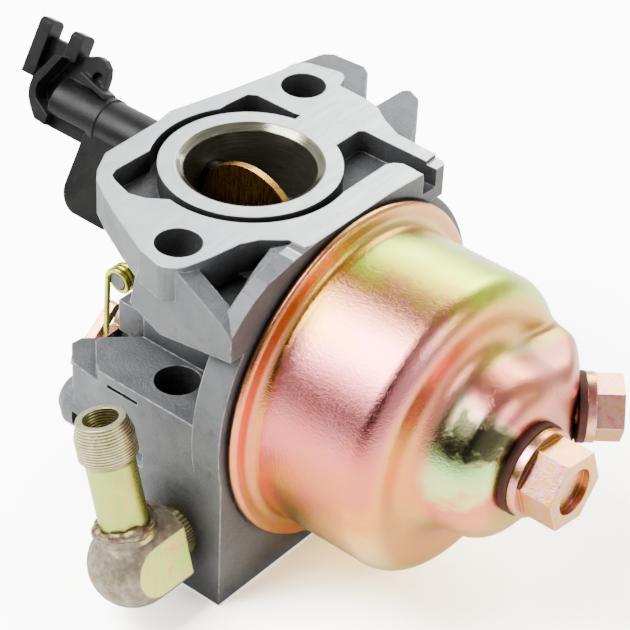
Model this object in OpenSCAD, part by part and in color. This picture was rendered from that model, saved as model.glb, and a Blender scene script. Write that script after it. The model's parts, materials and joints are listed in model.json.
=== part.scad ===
// Float-bowl carburettor for a small horizontal-shaft engine, with choke, throttle and fuel elbow.
// The origin is where the throat axis (Y) crosses the bowl axis (Z). Air enters at the -Y flange,
// the engine bolts to the +Y face, and the float bowl hangs towards -Z.

/* [Throat] */
// Radius of the intake bore
bore_r = 9.14; // [9:0.02:9.4]
// Radius of the venturi waist
venturi_r = 7; // [6:0.25:8]
// Radius of the throttle bore at the engine side
throttle_bore_r = 8.6; // [8.2:0.1:9]
// Radius of the raised ring and of the barrel behind it
barrel_r = 12.7; // [12.2:0.1:13.2]
// Y of the machined intake face
intake_y = -25.4; // [-26:0.1:-25]
// Y of the machined engine face
engine_y = 27; // [26:0.5:30]

/* [Studs] */
// Distance between the two stud holes
stud_spacing = 42; // [41:0.5:43]
// Tilt of the line through the stud holes
stud_tilt = 17.5; // [16:0.5:19]
// Radius of the stud holes
stud_hole_r = 3.23; // [3.1:0.01:3.4]

/* [Bowl] */
// Outer radius of the bowl's rim flange
rim_r = 25.35; // [25:0.05:25.6]
// Outer radius of the bowl's cylinder
bowl_r = 22.1; // [21.8:0.1:22.3]
// Wall of the pressed bowl
bowl_wall = 0.9; // [0.7:0.1:1.1]
// Z of the cast lower face that the bowl seals against
deck_z = -18.4; // [-18.6:0.1:-18.2]
// Z of the bowl's outer bottom
bowl_bottom = -49.5; // [-50:0.25:-49]
// Radius of the bowl's lower nose
nose_r = 12.9; // [12.6:0.1:13.2]
// Angle of the drain bolt below the horizontal
drain_tilt = 50; // [47:1:53]

/* [Choke] */
// X of the choke shaft, which is offset from the throat axis
choke_x = 2.2; // [2:0.1:2.4]
// Y of the choke shaft
choke_y = -17.5; // [-17.8:0.1:-17.2]
// Radius of the choke plate
choke_plate_r = 8.95; // [8.8:0.05:9]

/* [Throttle] */
// Y of the throttle shaft
throttle_y = 13; // [12.5:0.25:13.5]
// Radius of the throttle shaft
throttle_shaft_r = 3; // [2.8:0.1:3.2]

/* [Fuel] */
// Y of the fuel inlet
inlet_y = 17.8; // [17.4:0.1:18.2]
// Z of the fuel inlet
inlet_z = -10.4; // [-10.6:0.1:-10.2]
// X of the middle of the elbow's block
elbow_x = -34.6; // [-35.2:0.1:-34.2]
// Angle between the barb and the throat axis
barb_tilt = 14.5; // [10:0.5:20]
// Radius of the hose land on the barb
barb_r = 4.15; // [4:0.05:4.3]

/* [Float] */
// Outer radius of the float
float_r = 17.4; // [16.5:0.1:17.6]
// Z of the float's lower face
float_bottom = -30.5; // [-31:0.25:-29.5]

/* [Hidden] */

smooth = 64;
fit_gap = 0.03;                    // radial clearance of parts that are pressed or screwed in
run_gap = 0.05;                    // radial clearance of parts that turn or slide
past = 1;                          // how far a cutter runs past the face that it opens

cast_grey = [0.55, 0.56, 0.57];
brass = [0.72, 0.53, 0.22];
zinc_yellow = [0.78, 0.70, 0.42];
steel = [0.66, 0.66, 0.68];
black_plastic = [0.14, 0.13, 0.13];
rubber = [0.10, 0.11, 0.11];
fibre_red = [0.36, 0.12, 0.08];

flange_t = 5.4;
flange_back = intake_y + flange_t;
pocket_depth = 3.5;
pocket_floor = intake_y + pocket_depth;
groove_r = 14;
ring_r = 26.6;                     // cast ring above the bowl
ring_t = 4.8;
ring_top = deck_z + ring_t;
stud_centre = [-0.2, 1.06];        // middle of the stud line in X and Z
stud_dx = stud_spacing / 2 * cos(stud_tilt);
stud_dz = stud_spacing / 2 * sin(stud_tilt);
left_stud = [stud_centre[0] - stud_dx, stud_centre[1] - stud_dz];
right_stud = [stud_centre[0] + stud_dx, stud_centre[1] + stud_dz];
column_front = -2.4;               // Y of the front pads of both stud columns
left_face = -26;                   // X of the flat cast sides
boss_top = 17.5;                   // Z of the machined tops of the shaft bosses

rim_top = deck_z - 0.1;
rim_t = 1.5;
gasket_in = 22.9;
gasket_out = 25.1;
gasket_seat = deck_z + 0.9;
bolt_shank_r = 3;
washer_t = 1.1;
bolt_flange_t = 1.3;
bolt_head_h = 5.2;
drain_x = 14.6;                    // middle of the drain facet
drain_z = -46.9;
drain_shank_r = 2.5;
pillar_r = 6;
pillar_bottom = bowl_bottom + bowl_wall + 0.15;
jet_z = -43.4;
nozzle_r = 2.4;
nozzle_bottom = -39;
nozzle_top = -5.2;

plate_t = 1;
choke_plate_x = 0.4;               // X of the middle of the open choke plate
choke_plate_y = -15.4;
choke_journal_r = 3;
shaft_foot = -13.4;                // Z where both shafts end below the throat
lever_turn = atan2(0.85, -0.53);   // direction of the choke lever's long axis, seen from above

throttle_plate_t = 0.8;
throttle_lever_z = 20.6;
throttle_lever_t = 1.5;

pin_y = 18.3;
pin_z = -21.9;
pin_r = 0.8;
seat_y = 14.3;
seat_r = 2.9;

stop_x = 8.6;                      // idle stop screw
stop_z = 21.4;
stop_head_y = -7;
stop_screw_r = 2;
spring_peg_r = 1.3;
coil_x = -8.8;                     // coils of the throttle spring
coil_y = -1.5;
coil_z = 16.9;
jet_x = 13.4;                      // pilot jet
jet_y = 1;
pilot_r = 2.6;
pilot_head_r = 3.5;
jet_seat = 15.6;                   // Z of the turret's top
pilot_top = 17.6;
mixture_x = 33.4;                  // inner face of the idle mixture screw's head
mixture_y = 17;
mixture_z = -2.6;
mixture_screw_r = 1.9;
elbow_stub_r = 3.7;
elbow_stub_end = -24.2;
fuel_way_r = 1.4;
passage_x = 17;

module rod_x(r, x0, x1, y = 0, z = 0) {
    translate([x0, y, z]) rotate([0, 90, 0]) cylinder(r = r, h = x1 - x0, $fn = smooth);
}

module rod_y(r, y0, y1, x = 0, z = 0) {
    translate([x, y0, z]) rotate([-90, 0, 0]) cylinder(r = r, h = y1 - y0, $fn = smooth);
}

module rod_z(r, z0, z1, x = 0, y = 0) {
    translate([x, y, z0]) cylinder(r = r, h = z1 - z0, $fn = smooth);
}

// Extrusions whose outline is given in the two axes that are left over
module slab_x(x0, x1) {
    translate([x0, 0, 0]) rotate([90, 0, 90]) linear_extrude(x1 - x0) children();
}

module slab_y(y0, y1) {
    translate([0, y1, 0]) rotate([90, 0, 0]) linear_extrude(y1 - y0) children();
}

module slab_z(z0, z1) {
    translate([0, 0, z0]) linear_extrude(z1 - z0) children();
}

module block(low, high) {
    translate(low) cube(high - low);
}

function arc(centre, r, from, to, steps) =
    [for (i = [0 : steps]) let (a = from + (to - from) * i / steps)
        [centre[0] + r * cos(a), centre[1] + r * sin(a)]];

// ---------------------------------------------------------------- cast body

// Outline of the intake flange in X and Z
module flange_outline() {
    polygon(concat(
        [[-11.7, 16], [-1.3, 16.1], [2, 16.7], [11.8, 14.2], [20.8, 12.3]],
        arc([22.4, 9.5], 2.8, 80, 20, 4),
        arc([24.3, 6], 1.9, 30, -60, 4),
        [[23.4, 3.6], [23.2, -1.7], [22.6, -4], [20.9, -6.6], [19.3, -10.1], [19, -18.4],
         [18.4, -19.1], [14.1, -18.9], [7.4, deck_z], [-8.2, deck_z], [-9.7, -18],
         [-9.9, -15.5], [-12.5, -12.6], [-15, -11.3], [-19.9, -10.5]],
        arc([-22.2, -6.4], 3.4, 260, 180, 5),
        [[-24.8, -2.7], [-22, 3.5], [-19.3, 8.9], [-17.2, 12.4], [-15.4, 14]]));
}

// Sunk areas around the ring, as far as the outline of the flange lets them reach
module flange_pockets() {
    difference() {
        union() {
            rod_y(groove_r, intake_y - past, pocket_floor);
            slab_y(intake_y - past, pocket_floor)
                polygon([[-6, 12], [-13.6, 12.2], [-14.9, 11.7], [-15.5, 10.6], [-16.5, 7.2],
                         [-15.8, 4.8], [-14.2, 2.7], [-12, 0]]);
            slab_y(intake_y - past, pocket_floor)
                polygon([[2, 12], [9, 12], [12.6, 11.6], [13.5, 10.4], [13.5, 3.4], [12.4, 2.6],
                         [8, 4]]);
            slab_y(intake_y - past, pocket_floor)
                polygon([[9, -5.7], [16.2, -5.7], [16.8, -6.4], [16.8, -20], [14.1, -20],
                         [14.1, -15.2], [13.4, -14.2], [12.4, -13.6], [0, -13.6], [0, -11]]);
        }
        rod_y(barrel_r, intake_y - 2 * past, pocket_floor + past);
        slab_y(intake_y - 2 * past, pocket_floor + past)
            polygon([[11, 2.6], [20, 2.9], [20, -5.7], [9, -5.7]]);
    }
}

module intake_flange() {
    difference() {
        slab_y(intake_y, flange_back) flange_outline();
        // Step milled into the lower tip of the right arm
        slab_y(intake_y - past, intake_y + 0.5) polygon([[20, -17], [14, -17.4], [14, -20], [20, -20]]);
        // Room for the bowl's rim
        rod_z(rim_r + 0.2, deck_z - 2, deck_z);
    }
}

// Two lugs that reach out behind the flange on the right
module side_lugs() {
    slab_y(-20.4, -14.8)
        polygon([[17, 8], [18, 13.4], [30.5, 16.8], [34.6, 15.8], [35.6, 14.6], [36, 9.2], [35, 7.6],
                 [29.4, 3.6], [20, 2]]);
    slab_y(-20.4, -15.2)
        polygon([[18, 2], [29, 1.2], [34.8, 1], [35.6, 0.2], [34.6, -2.2], [28.6, -6.4],
                 [22, -9.6], [16, -9]]);
}

// Ring and square-cornered rear half that close the top of the bowl
module bowl_deck() {
    intersection() {
        union() {
            rod_z(ring_r, deck_z, ring_top);
            block([left_face, 2, deck_z], [-left_face, engine_y, ring_top]);
        }
        block([-30, intake_y, deck_z], [30, engine_y, ring_top]);
    }
}

// V-shaped ribs that run from the left stud boss down to the ring
module corner_wedge() {
    slab_z(deck_z, deck_z + 2.6)
        polygon([[-8, intake_y], [-12.4, -24.8], [-17.4, -23.8], [-20, -22.6], [-22.4, -20.8],
                 [-24.5, -18.8], [-24.5, -15], [-10, -18]]);
    slab_x(-24.6, -21.6)
        polygon([[intake_y, -8], [-20.4, -16.6], [-18.8, deck_z], [-15, deck_z], [-13.2, -6],
                 [-15.6, -0.6], [-20.2, -1.6], [intake_y, -3.2]]);
    block([-22, -19.4, deck_z], [-8, -14, -9]);
}

// Column around the left stud, with the ridges on its outer side
module left_column() {
    slab_y(column_front, engine_y)
        polygon([[left_face, deck_z], [-11, deck_z], [-11, 0], [-16.7, 5], [-20.4, 8.8],
                 [-21.6, 8.8], [-25.2, 5.2], [left_face, 4]]);
    slab_y(-0.5, 8)
        polygon([[left_face, 4], [-25.4, 9.4], [-24.4, 10.6], [-22.4, 12.6], [-20.6, 12.4],
                 [-15, 6.4], [-16, 2]]);
    rod_z(4.1, -8, 11.4, x = -21.9, y = 8.7);
    translate([-21.9, 8.7, 11.4]) cylinder(r1 = 4.1, r2 = 2.9, h = 1.7, $fn = smooth);
    // Wall in front of the column, inward of the stud, with its ridge
    block([-16.4, -14.4, deck_z], [-10, 0, 4.6]);
    rod_z(1.7, deck_z, 10.4, x = -15.2, y = -3.5);
    block([-15.2, -5.2, deck_z], [-10, 0, 10.4]);
}

module right_column() {
    slab_y(column_front, engine_y)
        polygon([[11, -12], [-left_face - 1, -12], [-left_face, -10.5], [-left_face, 9.4],
                 [24.4, 12.4], [20, 13.9], [15.6, 13], [11, 10]]);
    block([12, -10, deck_z], [24, engine_y, -11]);
    block([12, -20.4, -9], [21, 0, 3]);
}

// Face that bolts to the engine
module engine_flange() {
    flange_y = engine_y - 5.6;
    rod_y(15, flange_y, engine_y);
    slab_y(flange_y, engine_y)
        polygon([[left_face, deck_z], [-left_face, deck_z], [-left_face, 8],
                 [25.2, 11.6], [22.4, 13.8], [6, 16], [-8, 14.4], [-22.6, 2.6],
                 [left_face, 1.4]]);
}

// Middle of the casting, between the throat and the bowl
module neck() {
    block([-15, -20.6, ring_top - past], [15, 24, -4]);
    block([-11, -19, -6], [11, 24, 2]);
    rod_y(barrel_r, intake_y, engine_y);
    rod_z(pillar_r, pillar_bottom, deck_z + past);
}

// Bearing bosses of the two shafts, and the posts on top of the barrel
module top_bosses() {
    rod_z(6.2, 6, boss_top, x = choke_x, y = choke_y);
    rod_z(6.4, 6, boss_top, y = throttle_y);
    block([-6.4, 2, 6], [6.4, throttle_y, 14.4]);
    // Post of the idle stop screw
    block([4.8, 0.6, 5], [12.4, 5, 22]);
    rod_y(3.8, 0.6, 5, x = stop_x, z = stop_z);
    // Lug and peg of the throttle spring
    block([-6.4, -5.2, 8], [-2.6, 0.6, boss_top]);
    rod_x(spring_peg_r, coil_x + 0.1, -4, y = coil_y, z = coil_z);
    // Turret of the pilot jet
    rod_z(4.4, 2, jet_seat, x = jet_x, y = jet_y);
    block([6, -3, 2], [jet_x, 5, 12]);
}

// Boss of the idle mixture screw, on the engine side of the right column
module mixture_boss() {
    rod_x(4.4, 18, 30, y = mixture_y, z = mixture_z);
}

// Two lugs that hold the float's hinge pin
module float_lugs() {
    for (side = [-1, 1]) {
        slab_x(side * 4.6 - 1, side * 4.6 + 1)
            polygon(concat([[pin_y + 1.55, deck_z + past], [pin_y - 1.55, deck_z + past]],
                           arc([pin_y, pin_z], 1.55, 180, 360, 10)));
    }
}

module throat_cutter() {
    rotate([-90, 0, 0]) rotate_extrude($fn = smooth)
        polygon([[0, intake_y - past], [10.16, intake_y - past], [10.16, intake_y],
                 [bore_r, intake_y + 0.75], [bore_r, -8.6], [7.6, -3], [venturi_r, -0.6],
                 [venturi_r, 1.4], [throttle_bore_r, 6.4], [throttle_bore_r, engine_y + past],
                 [0, engine_y + past]]);
}

module stud_cutters() {
    for (stud = [left_stud, right_stud]) {
        rod_y(stud_hole_r, intake_y - past, engine_y + past, x = stud[0], z = stud[1]);
    }
}

module shaft_cutters() {
    rod_z(choke_journal_r + run_gap, shaft_foot - 0.1, boss_top + past, x = choke_x, y = choke_y);
    rod_z(throttle_shaft_r + run_gap, shaft_foot - 0.1, boss_top + past, y = throttle_y);
}

module fuel_cutters() {
    rod_x(elbow_stub_r + fit_gap, left_face - 2 * past, elbow_stub_end + 0.1, y = inlet_y, z = inlet_z);
    rod_x(fuel_way_r, elbow_stub_end, 1.8, y = inlet_y, z = inlet_z);
    rod_z(seat_r + fit_gap, deck_z - past, -13.4, y = seat_y);
    rod_z(2.2, -14, inlet_z, y = seat_y);
    block([-1.2, seat_y, inlet_z - 1.2], [1.2, inlet_y, inlet_z + 1.2]);
}

module jet_cutters() {
    rod_z(bolt_shank_r + fit_gap, pillar_bottom - past, jet_z + 2.6);
    rod_z(nozzle_r + fit_gap, jet_z, 0);
    rod_x(1.4, -pillar_r - past, pillar_r + past, z = jet_z - 1.7);
    rod_z(pilot_r + fit_gap, -10, 16.6, x = jet_x, y = jet_y);
    rod_z(pilot_head_r + 0.2, jet_seat, pilot_top + past, x = jet_x, y = jet_y);
    rod_x(mixture_screw_r + run_gap, 14, 31, y = mixture_y, z = mixture_z);
    rod_x(0.9, throttle_bore_r - past, 15, y = mixture_y, z = mixture_z);
    rod_z(0.9, deck_z - past, 8, x = -10.4, y = -6);
}

// Hollow above the float, and the groove of the bowl gasket
module deck_cutters() {
    difference() {
        rod_z(20.4, deck_z - past, deck_z + 1.6);
        rod_z(pillar_r + 1.4, deck_z - 2 * past, deck_z + 2 * past);
        block([-6, seat_y - 4.4, deck_z - 2 * past], [6, 21, deck_z + 2 * past]);
    }
    difference() {
        rod_z(gasket_out + fit_gap, deck_z - past, gasket_seat);
        rod_z(gasket_in - fit_gap, deck_z - 2 * past, gasket_seat + past);
    }
}

// Groove and slot on the outer side of the left column
module side_cutters() {
    block([left_face - past, -0.9, -3.2], [left_face + 1.2, -0.3, 2.4]);
    rod_z(1.3, -4, 9.4, x = left_face - 0.3, y = 9);
}

module body() {
    color(cast_grey) difference() {
        union() {
            neck();
            intake_flange();
            side_lugs();
            bowl_deck();
            corner_wedge();
            left_column();
            right_column();
            engine_flange();
            top_bosses();
            mixture_boss();
            float_lugs();
        }
        flange_pockets();
        throat_cutter();
        stud_cutters();
        shaft_cutters();
        fuel_cutters();
        jet_cutters();
        deck_cutters();
        side_cutters();
        rod_x(pin_r + fit_gap, -7, 7, y = pin_y, z = pin_z);
        rod_y(stop_screw_r + run_gap, 0, 6, x = stop_x, z = stop_z);
        rod_x(3.2, passage_x - 1, 27, y = -8, z = -3);
    }
}

// ---------------------------------------------------------------- float bowl

// Solid of the bowl, drawn smaller by inset all round
module bowl_form(inset) {
    r = bowl_r - inset;
    shoulder = 3.6 - inset;
    floor_z = bowl_bottom + inset;
    nose = nose_r - inset;
    edge = 3.8;
    rotate_extrude($fn = smooth)
        polygon(concat([[0, rim_top + past], [r, rim_top + past]],
                       arc([r - shoulder, -36], shoulder, 0, -90, 6),
                       arc([nose + 3, -42.5 + inset], 2.9, 90, 170, 5),
                       arc([nose - 0.7 - edge, floor_z + edge], edge, -8, -90, 5),
                       [[0, floor_z]]));
    // Channel that leads sideways to the drain
    intersection() {
        hull() {
            translate([0, 0, floor_z + 4]) cylinder(r = nose - 0.2, h = 8, $fn = 32);
            for (side = [-1, 1]) {
                translate([18.6, side * (5 - inset), floor_z + 4])
                    cylinder(r = 3, h = 8, $fn = 32);
            }
            translate([0, 0, floor_z]) cylinder(r = nose - 4.5, h = 1, $fn = 32);
            translate([11.6, 0, floor_z + 0.4]) cylinder(r = 4.6, h = 1, $fn = 32);
        }
        rod_z(r - 0.1, floor_z, -30);
        drain_frame() block([-40, -20, inset], [40, 20, 60]);
    }
}

module bowl() {
    color([0.80, 0.62, 0.52]) difference() {
        union() {
            intersection() {
                bowl_form(0);
                block([-30, -30, -60], [30, 30, rim_top]);
            }
            rotate_extrude($fn = smooth)
                polygon(concat([[bowl_r - 0.3, rim_top], [rim_r - 0.5, rim_top]],
                               arc([rim_r - rim_t / 2, rim_top - rim_t / 2], rim_t / 2, 90, -90, 8),
                               [[bowl_r - 0.3, rim_top - rim_t]]));
        }
        bowl_form(bowl_wall);
        rod_z(bolt_shank_r + 0.15, bowl_bottom - past, bowl_bottom + 2 * past);
        drain_frame() rod_z(drain_shank_r + 0.15, -3, 2);
    }
}

// Places children on the drain facet, with their -Z pointing out of the bowl
module drain_frame() {
    translate([drain_x, 0, drain_z]) rotate([0, drain_tilt - 90, 0]) children();
}

// Hexagon-head bolt with a round flange and a dished end. Its seat is at z = 0.
module flanged_bolt(shank_r, shank_l, flange_r, across_flats, head_h) {
    difference() {
        union() {
            rod_z(shank_r, -past, shank_l);
            rod_z(flange_r, -bolt_flange_t, 0);
            translate([0, 0, -bolt_flange_t]) mirror([0, 0, 1])
                cylinder(r = across_flats / sqrt(3), h = head_h, $fn = 6);
        }
        rod_z(across_flats * 0.34, -bolt_flange_t - head_h - past, -bolt_flange_t - head_h + 1.1);
    }
}

module flat_ring(inner, outer, z0, z1) {
    difference() {
        rod_z(outer, z0, z1);
        rod_z(inner, z0 - past, z1 + past);
    }
}

module bowl_gasket() {
    color(rubber) flat_ring(gasket_in, gasket_out, rim_top + 0.01, gasket_seat - 0.01);
}

module bowl_bolt() {
    color(zinc_yellow) translate([0, 0, bowl_bottom - washer_t]) rotate([0, 0, 10.3])
        flanged_bolt(bolt_shank_r, jet_z - 1.5 - bowl_bottom - washer_t, 6.4, 10, bolt_head_h);
}

module bowl_bolt_washer() {
    color(fibre_red) flat_ring(bolt_shank_r + 0.1, 6.7, bowl_bottom - washer_t, bowl_bottom);
}

module drain_bolt() {
    color(zinc_yellow) drain_frame() translate([0, 0, -1])
        flanged_bolt(drain_shank_r, 5.4, 4.9, 8.2, 3.9);
}

module drain_bolt_washer() {
    color(fibre_red) drain_frame() flat_ring(drain_shank_r + 0.1, 5, -1, 0);
}

module drain_weld_nut() {
    color(steel) difference() {
        drain_frame() flat_ring(drain_shank_r + fit_gap, 4, bowl_wall + 0.02, bowl_wall + 3.8);
        block([0, -9, bowl_bottom - past], [30, 9, bowl_bottom + bowl_wall + 0.6]);
    }
}

// ---------------------------------------------------------------- choke

// Outlines of the choke lever are drawn along its arm, which is then turned into place
module choke_lever_frame() {
    translate([choke_x, choke_y, 0]) rotate([0, 0, lever_turn]) children();
}

module choke_lever() {
    head_z = 28.4;
    cup_z = 37.2;                  // end of the solid part of the head
    barrel = 3.8;
    head = 4;
    prong_t = 2.3;
    flat_x = choke_plate_x + plate_t / 2 - choke_x + fit_gap;
    color(black_plastic) {
        // Journal and half-round blade
        translate([choke_x, choke_y, 0]) {
            difference() {
                rod_z(choke_journal_r, shaft_foot, boss_top + past);
                block([-5, -5, 0.1 - bore_r], [flat_x, 5, bore_r - 0.1]);
            }
            rod_z(barrel, boss_top + run_gap, head_z + past);
        }
        choke_lever_frame() {
            // Arm with a rounded end
            slab_y(-2.6, 3.4)
                polygon(concat([[0, boss_top + 2.4], [12.2, boss_top + 2.4], [13.2, boss_top + 3.4]],
                               arc([9.6, 26.2], 3.6, 10, 84, 6), [[3, 29.8], [0, 29.8]]));
            // Head, with a flat along its lower side
            difference() {
                rod_z(head, head_z, cup_z);
                block([1.7, 2.3, head_z + past], [6, 6, cup_z + past]);
            }
            block([0, -2, head_z + past], [3.8, 2.3, cup_z]);
            // Back plate with a blind hole
            difference() {
                slab_y(0, 1.3)
                    polygon([[3.6, 32], [3.7, 39], [2.5, 40.8], [0.7, 42.3], [-1.2, 42.8], [-5.5, 41],
                             [-8.5, 33.7], [-8.3, 32.5], [-7.5, 31.5], [-6.2, 31], [-3, 30.8]]);
                rod_y(1, 0.4, 3, x = -5.4, z = 32.6);
            }
            // Border of the cup, highest on the left, and the rib on its other side
            slab_y(0, 4)
                polygon([[3.6, 36.6], [3.4, 38.7], [2.1, 40.1], [0.9, 41.1], [-0.4, 41.6], [-1.9, 41.6],
                         [-6.2, 39.2], [-6.4, 37.9], [-1.6, 40.3], [-0.4, 40.3], [0.6, 39.7], [2.2, 36.6]]);
            slab_y(0, 2.6)
                polygon([[-5.5, 34.9], [-4.7, 35.1], [-3.4, 29.2], [-4.2, 29.4]]);
            // Web and the two prongs
            slab_y(-0.4, 1) polygon([[-3, 36.8], [-8, 36.8], [-8, 44.6], [-3, 44.6]]);
            for (prong = [[36.6, -6.2], [42.8, -1.7]]) {
                slab_z(prong[0], prong[0] + prong_t)
                    polygon([[prong[1], -0.4], [-9.8, -0.4], [-10.3, 0.2], [-10.3, 2], [-9.8, 2.5],
                             [prong[1], 2.5]]);
            }
        }
    }
}

module choke_plate() {
    color(brass) difference() {
        intersection() {
            rod_x(choke_plate_r, choke_plate_x - plate_t / 2, choke_plate_x + plate_t / 2,
                  y = choke_plate_y);
            block([-5, -30, -choke_plate_r], [5, 0, choke_plate_r]);
        }
        rod_x(0.9, -2, 3, y = choke_plate_y + 5.6);
    }
}

// ---------------------------------------------------------------- throttle

module throttle_shaft() {
    blade = throttle_bore_r - 0.1;
    color(steel) translate([0, throttle_y, 0]) difference() {
        union() {
            rod_z(throttle_shaft_r, shaft_foot, throttle_lever_z);
            rod_z(2.2, throttle_lever_z - past, throttle_lever_z + throttle_lever_t + 0.9);
        }
        block([-4, -4, -blade], [throttle_plate_t / 2 + 0.01, 4, blade]);
        for (z = [-3.4, 3.4]) {
            rod_x(1 + fit_gap, -4, 4, z = z);
        }
    }
}

module throttle_plate() {
    color(brass) difference() {
        rod_x(throttle_bore_r - 0.1, -throttle_plate_t / 2, throttle_plate_t / 2, y = throttle_y);
        for (z = [-3.4, 3.4]) {
            rod_x(1 + fit_gap, -2, 2, y = throttle_y, z = z);
        }
    }
}

module throttle_plate_screws() {
    color(brass) for (z = [-3.4, 3.4]) {
        difference() {
            union() {
                rod_x(1, -throttle_plate_t, 2.8, y = throttle_y, z = z);
                rod_x(1.9, -throttle_plate_t / 2 - 1.2, -throttle_plate_t / 2 - 0.01,
                      y = throttle_y, z = z);
            }
            block([-2, throttle_y - 0.25, z - 3], [-throttle_plate_t / 2 - 0.7, throttle_y + 0.25, z + 3]);
        }
    }
}

module throttle_lever() {
    z0 = throttle_lever_z + 0.02;
    z1 = z0 + throttle_lever_t;
    color(zinc_yellow) difference() {
        union() {
            rod_z(4.6, z0, z1, y = throttle_y);
            // Plate from the hub out to a narrow finger
            slab_z(z0, z1)
                polygon([[0, 11], [-8.6, 11.4], [-4.5, 7.7], [-4.5, 6.8], [-5.3, 6.6], [-9.9, 10.3],
                         [-13.1, 12.3], [-13.4, 13.6], [-12, 15], [0, 17.4]]);
            // Arm that meets the idle stop screw
            translate([0, throttle_y, 0]) rotate([0, 0, 75]) slab_z(z0, z1)
                polygon([[0, -2.8], [8.8, -2], [10.6, -1.2], [10.6, 1.2], [9.4, 2], [0, 3.4]]);
        }
        rod_z(2.2 + fit_gap, z0 - past, z1 + past, y = throttle_y);
        rod_z(1.1, z0 - past, z1 + past, x = -11, y = 12.4);
    }
}

module throttle_shaft_seal() {
    color(rubber) translate([0, throttle_y, 0])
        flat_ring(throttle_shaft_r + run_gap, 5.4, boss_top + 0.02, boss_top + 2);
}

module throttle_shaft_clip() {
    top = throttle_lever_z + throttle_lever_t + 0.04;
    color(steel) translate([0, throttle_y, 0]) flat_ring(2.2 + fit_gap, 3.6, top, top + 0.8);
}

// Torsion spring: close rings on the peg, one leg to the lever's finger and one to the barrel
module throttle_spring() {
    wire = 0.42;
    mean_r = spring_peg_r + wire + 0.12;
    pitch = 2 * wire + 0.1;
    rings = 3;
    far = (rings - 1) * pitch;
    color(zinc_yellow) translate([coil_x, coil_y, coil_z]) {
        for (i = [0 : rings - 1]) {
            translate([i * pitch, 0, 0]) rotate([0, 90, 0])
                rotate_extrude($fn = smooth) translate([mean_r, 0]) circle(r = wire, $fn = 16);
        }
        for (side = [-1, 1]) {
            rod_x(wire * 0.9, 0, far, z = side * mean_r);
        }
        leg(wire, [0, 0, mean_r], [0, 10.6, mean_r + 0.5]);
        leg(wire, [far, 0, -mean_r], [far - 0.4, 6, -mean_r - 0.6]);
    }
}

// Round wire between two points
module leg(r, from, to) {
    reach = to - from;
    length = norm(reach);
    translate(from) rotate([0, acos(reach[2] / length), atan2(reach[1], reach[0])])
        cylinder(r = r, h = length, $fn = 16);
}

// Compression spring as a stack of rings joined by short bars
module coil_stack(inner, wire, z0, z1, rings) {
    mean = inner + wire;
    step = (z1 - z0 - 2 * wire) / (rings - 1);
    for (i = [0 : rings - 1]) {
        translate([0, 0, z0 + wire + i * step])
            rotate_extrude($fn = smooth) translate([mean, 0]) circle(r = wire, $fn = 16);
    }
    for (i = [0 : rings - 2]) {
        rotate([0, 0, 180 * (i % 2)]) translate([mean, 0, z0 + wire + i * step])
            cylinder(r = wire * 0.8, h = step, $fn = 16);
    }
}

// Slotted cheese-head screw. Its head's inner face is at z = 0 and the shank points to +Z.
module slotted_screw(shank_r, shank_l, head_r, head_h, point_l) {
    difference() {
        union() {
            rod_z(shank_r, -past / 2, shank_l);
            translate([0, 0, shank_l]) cylinder(r1 = shank_r, r2 = 0.3, h = point_l, $fn = smooth);
            rod_z(head_r, -head_h, 0);
        }
        block([-head_r - past, -0.45, -head_h - past], [head_r + past, 0.45, -head_h + 1]);
    }
}

module idle_stop_screw() {
    color(steel) translate([stop_x, stop_head_y, stop_z]) rotate([-90, 0, 0])
        slotted_screw(stop_screw_r, 16.8, 3.2, 2.4, 1);
}

module idle_stop_spring() {
    color(steel) translate([stop_x, stop_head_y, stop_z]) rotate([-90, 0, 0])
        coil_stack(stop_screw_r + 0.08, 0.4, 0.02, 7.58, 5);
}

module idle_mixture_screw() {
    color(brass) translate([mixture_x, mixture_y, mixture_z]) rotate([0, -90, 0])
        slotted_screw(mixture_screw_r, 16.8, 3, 2.2, 2.4);
}

module idle_mixture_spring() {
    color(steel) translate([mixture_x, mixture_y, mixture_z]) rotate([0, -90, 0])
        coil_stack(mixture_screw_r + 0.08, 0.35, 0.02, 3.38, 3);
}

// ---------------------------------------------------------------- jets

module pilot_jet() {
    color(black_plastic) translate([jet_x, jet_y, 0]) difference() {
        union() {
            rod_z(pilot_r, 4, jet_seat + 0.2);
            rod_z(pilot_head_r, jet_seat + 0.02, pilot_top);
            rod_z(1.3, -6, 5);
        }
        rod_z(0.4, -6 - past, 6);
        block([-5, -0.5, pilot_top - 0.8], [5, 0.5, pilot_top + past]);
    }
}

module main_nozzle() {
    color(brass) difference() {
        rod_z(nozzle_r, nozzle_bottom, nozzle_top);
        rod_z(1.3, nozzle_bottom - past, nozzle_top + past);
        for (i = [0 : 4], turn = [0, 90]) {
            rotate([0, 0, turn]) rod_x(0.4, -4, 4, z = nozzle_bottom + 4 + 4.4 * i);
        }
    }
}

module main_jet() {
    color(brass) difference() {
        rod_z(bolt_shank_r, jet_z, jet_z + 2.5);
        rod_z(0.5, jet_z - past, jet_z + 2.5 + past);
        block([-4, -0.4, jet_z - past], [4, 0.4, jet_z + 0.8]);
    }
}

// ---------------------------------------------------------------- float and inlet valve

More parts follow.
